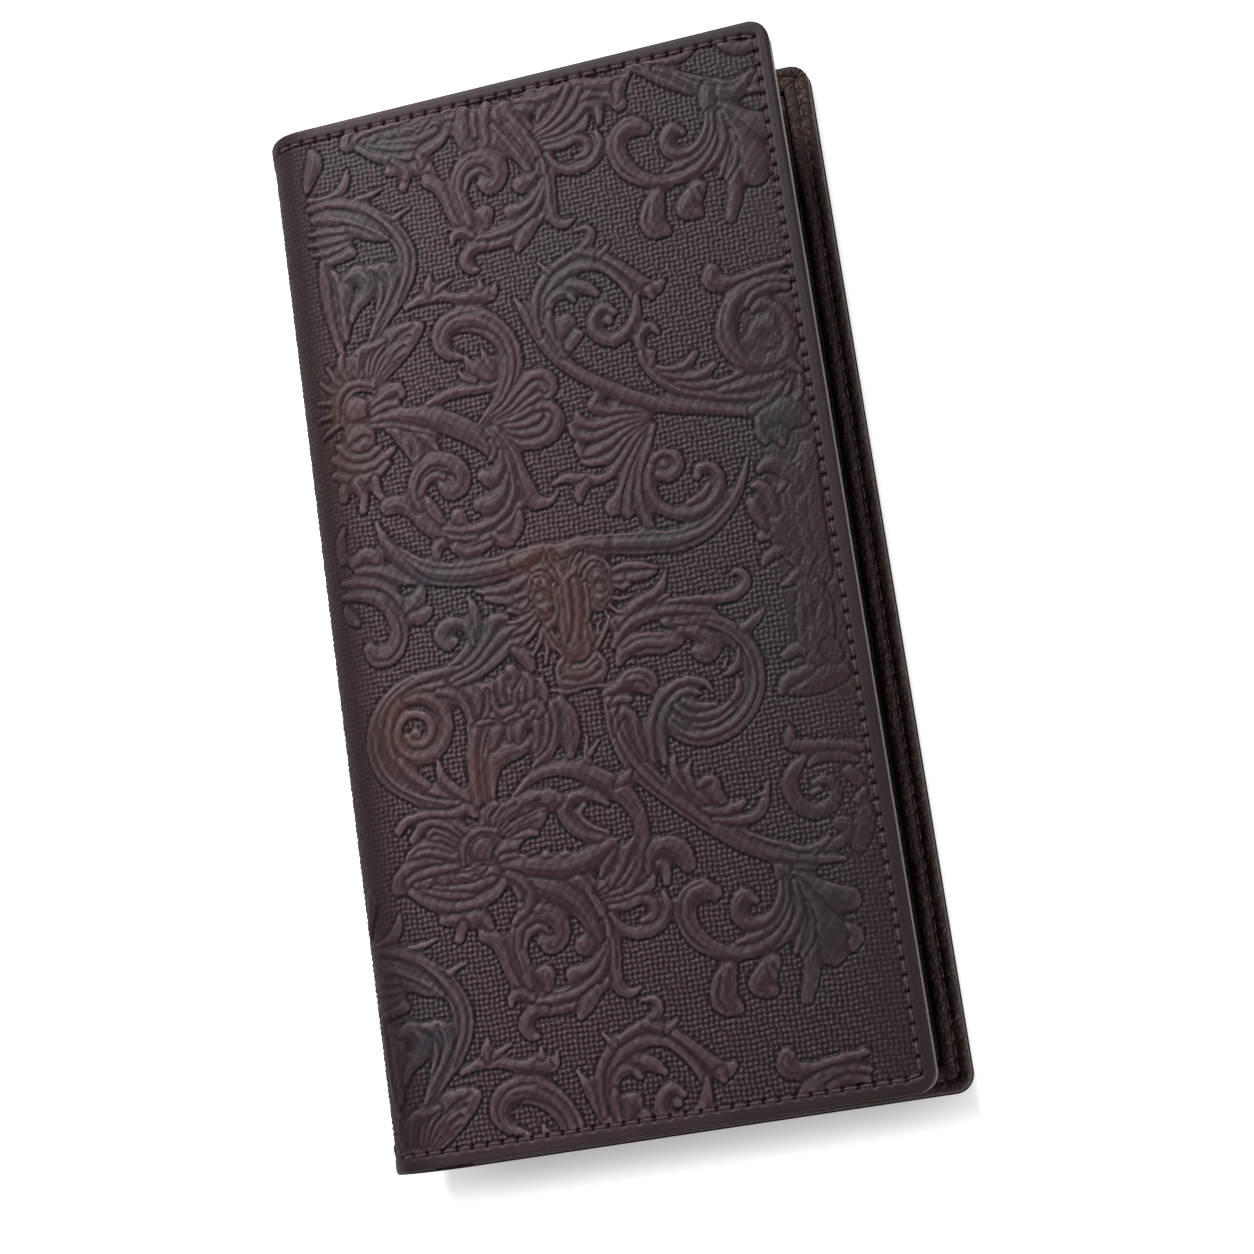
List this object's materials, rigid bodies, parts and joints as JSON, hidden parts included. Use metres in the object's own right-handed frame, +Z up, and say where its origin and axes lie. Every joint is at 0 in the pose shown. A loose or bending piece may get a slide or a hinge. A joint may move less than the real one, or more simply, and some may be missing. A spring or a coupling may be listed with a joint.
{
  "type": "long bifold wallet",
  "caption": "Long bifold wallet in embossed leather that opens flat about a soft spine, with card slots, note compartments, slip pockets and a zipped coin pocket.",
  "frame": {"origin": "on the surface that the wallet lies on, under the middle of its box", "axes": "+Z up through the front cover, +Y along the wallet towards the end where the zip closes, +X from the spine to the fore edge"},
  "size_m": [0.1014, 0.19, 0.028],
  "materials": {
    "embossed_leather": "dark brown antiqued cowhide, embossed with scrollwork on a basket weave ground, semi-matt wax finish",
    "pebbled_leather": "dark brown pebble grain leather, semi-matt",
    "lining_cloth": "thin dark woven lining, matt",
    "thread": "dark maroon waxed sewing thread",
    "zip_tape": "dark herringbone zip tape, matt",
    "zip_metal": "antique brass, satin"
  },
  "bodies": {
    "back_half": {"back_cover": "embossed_leather", "back_cover_thread": "thread", "back_lining": "lining_cloth", "back_panel_backing": "lining_cloth", "back_inner_panel": "pebbled_leather", "back_border": "pebbled_leather", "back_border_thread": "thread", "card_slot_1": "pebbled_leather", "card_slot_2": "pebbled_leather", "card_slot_3": "pebbled_leather", "card_slot_4": "pebbled_leather", "card_slot_divider_thread": "thread"},
    "spine_lower": {"spine_leather_1": "embossed_leather", "spine_lining_1": "lining_cloth"},
    "spine_middle": {"spine_leather_2": "embossed_leather", "spine_lining_2": "lining_cloth"},
    "spine_upper": {"spine_leather_3": "embossed_leather", "spine_lining_3": "lining_cloth"},
    "front_half": {"front_cover": "embossed_leather", "front_cover_thread": "thread", "front_lining": "lining_cloth", "coin_pocket_lining": "lining_cloth", "front_inner_panel": "pebbled_leather", "front_border": "pebbled_leather", "front_border_thread": "thread", "slip_pocket_1": "pebbled_leather", "slip_pocket_2": "pebbled_leather", "zip_tape_spine_side": "zip_tape", "zip_tape_fore_side": "zip_tape", "zip_teeth_spine_side": "zip_metal", "zip_teeth_fore_side": "zip_metal", "zip_top_stop": "zip_metal", "zip_bottom_stop": "zip_metal"},
    "slider": {"zip_slider": "zip_metal"},
    "pull": {"zip_pull": "zip_metal"}
  },
  "joints": [
    {"name": "fold_at_back_cover", "type": "hinge", "parent": "back_half", "child": "spine_lower", "pos_m": [-0.04194, 0, 0.0007], "axis": [0, -1, 0], "range_deg": [-1.07, 30.98]},
    {"name": "fold_low", "type": "hinge", "parent": "spine_lower", "child": "spine_middle", "pos_m": [-0.04815, 0, 0.00443], "axis": [0, -1, 0], "range_deg": [-1.46, 42.29]},
    {"name": "fold_high", "type": "hinge", "parent": "spine_middle", "child": "spine_upper", "pos_m": [-0.05024, 0, 0.01137], "axis": [0, -1, 0], "range_deg": [-1.66, 47.86]},
    {"name": "fold_open", "type": "hinge", "parent": "spine_upper", "child": "front_half", "pos_m": [-0.0465, 0, 0.01758], "axis": [0, -1, 0], "range_deg": [-1.82, 52.89]},
    {"name": "zip_slide", "type": "slide", "parent": "front_half", "child": "slider", "axis": [0, -1, 0], "range_m": [0, 0.128]},
    {"name": "zip_pull_swing", "type": "hinge", "parent": "slider", "child": "pull", "pos_m": [0.01977, 0.0642, 0.01851], "axis": [0.9945, 0, 0.1045], "range_deg": [0, 14]}
  ],
  "couplings": [
    {"joint": "fold_at_back_cover", "follows": "fold_open", "ratio": 0.58553},
    {"joint": "fold_low", "follows": "fold_open", "ratio": 0.79934},
    {"joint": "fold_high", "follows": "fold_open", "ratio": 0.9046}
  ]
}
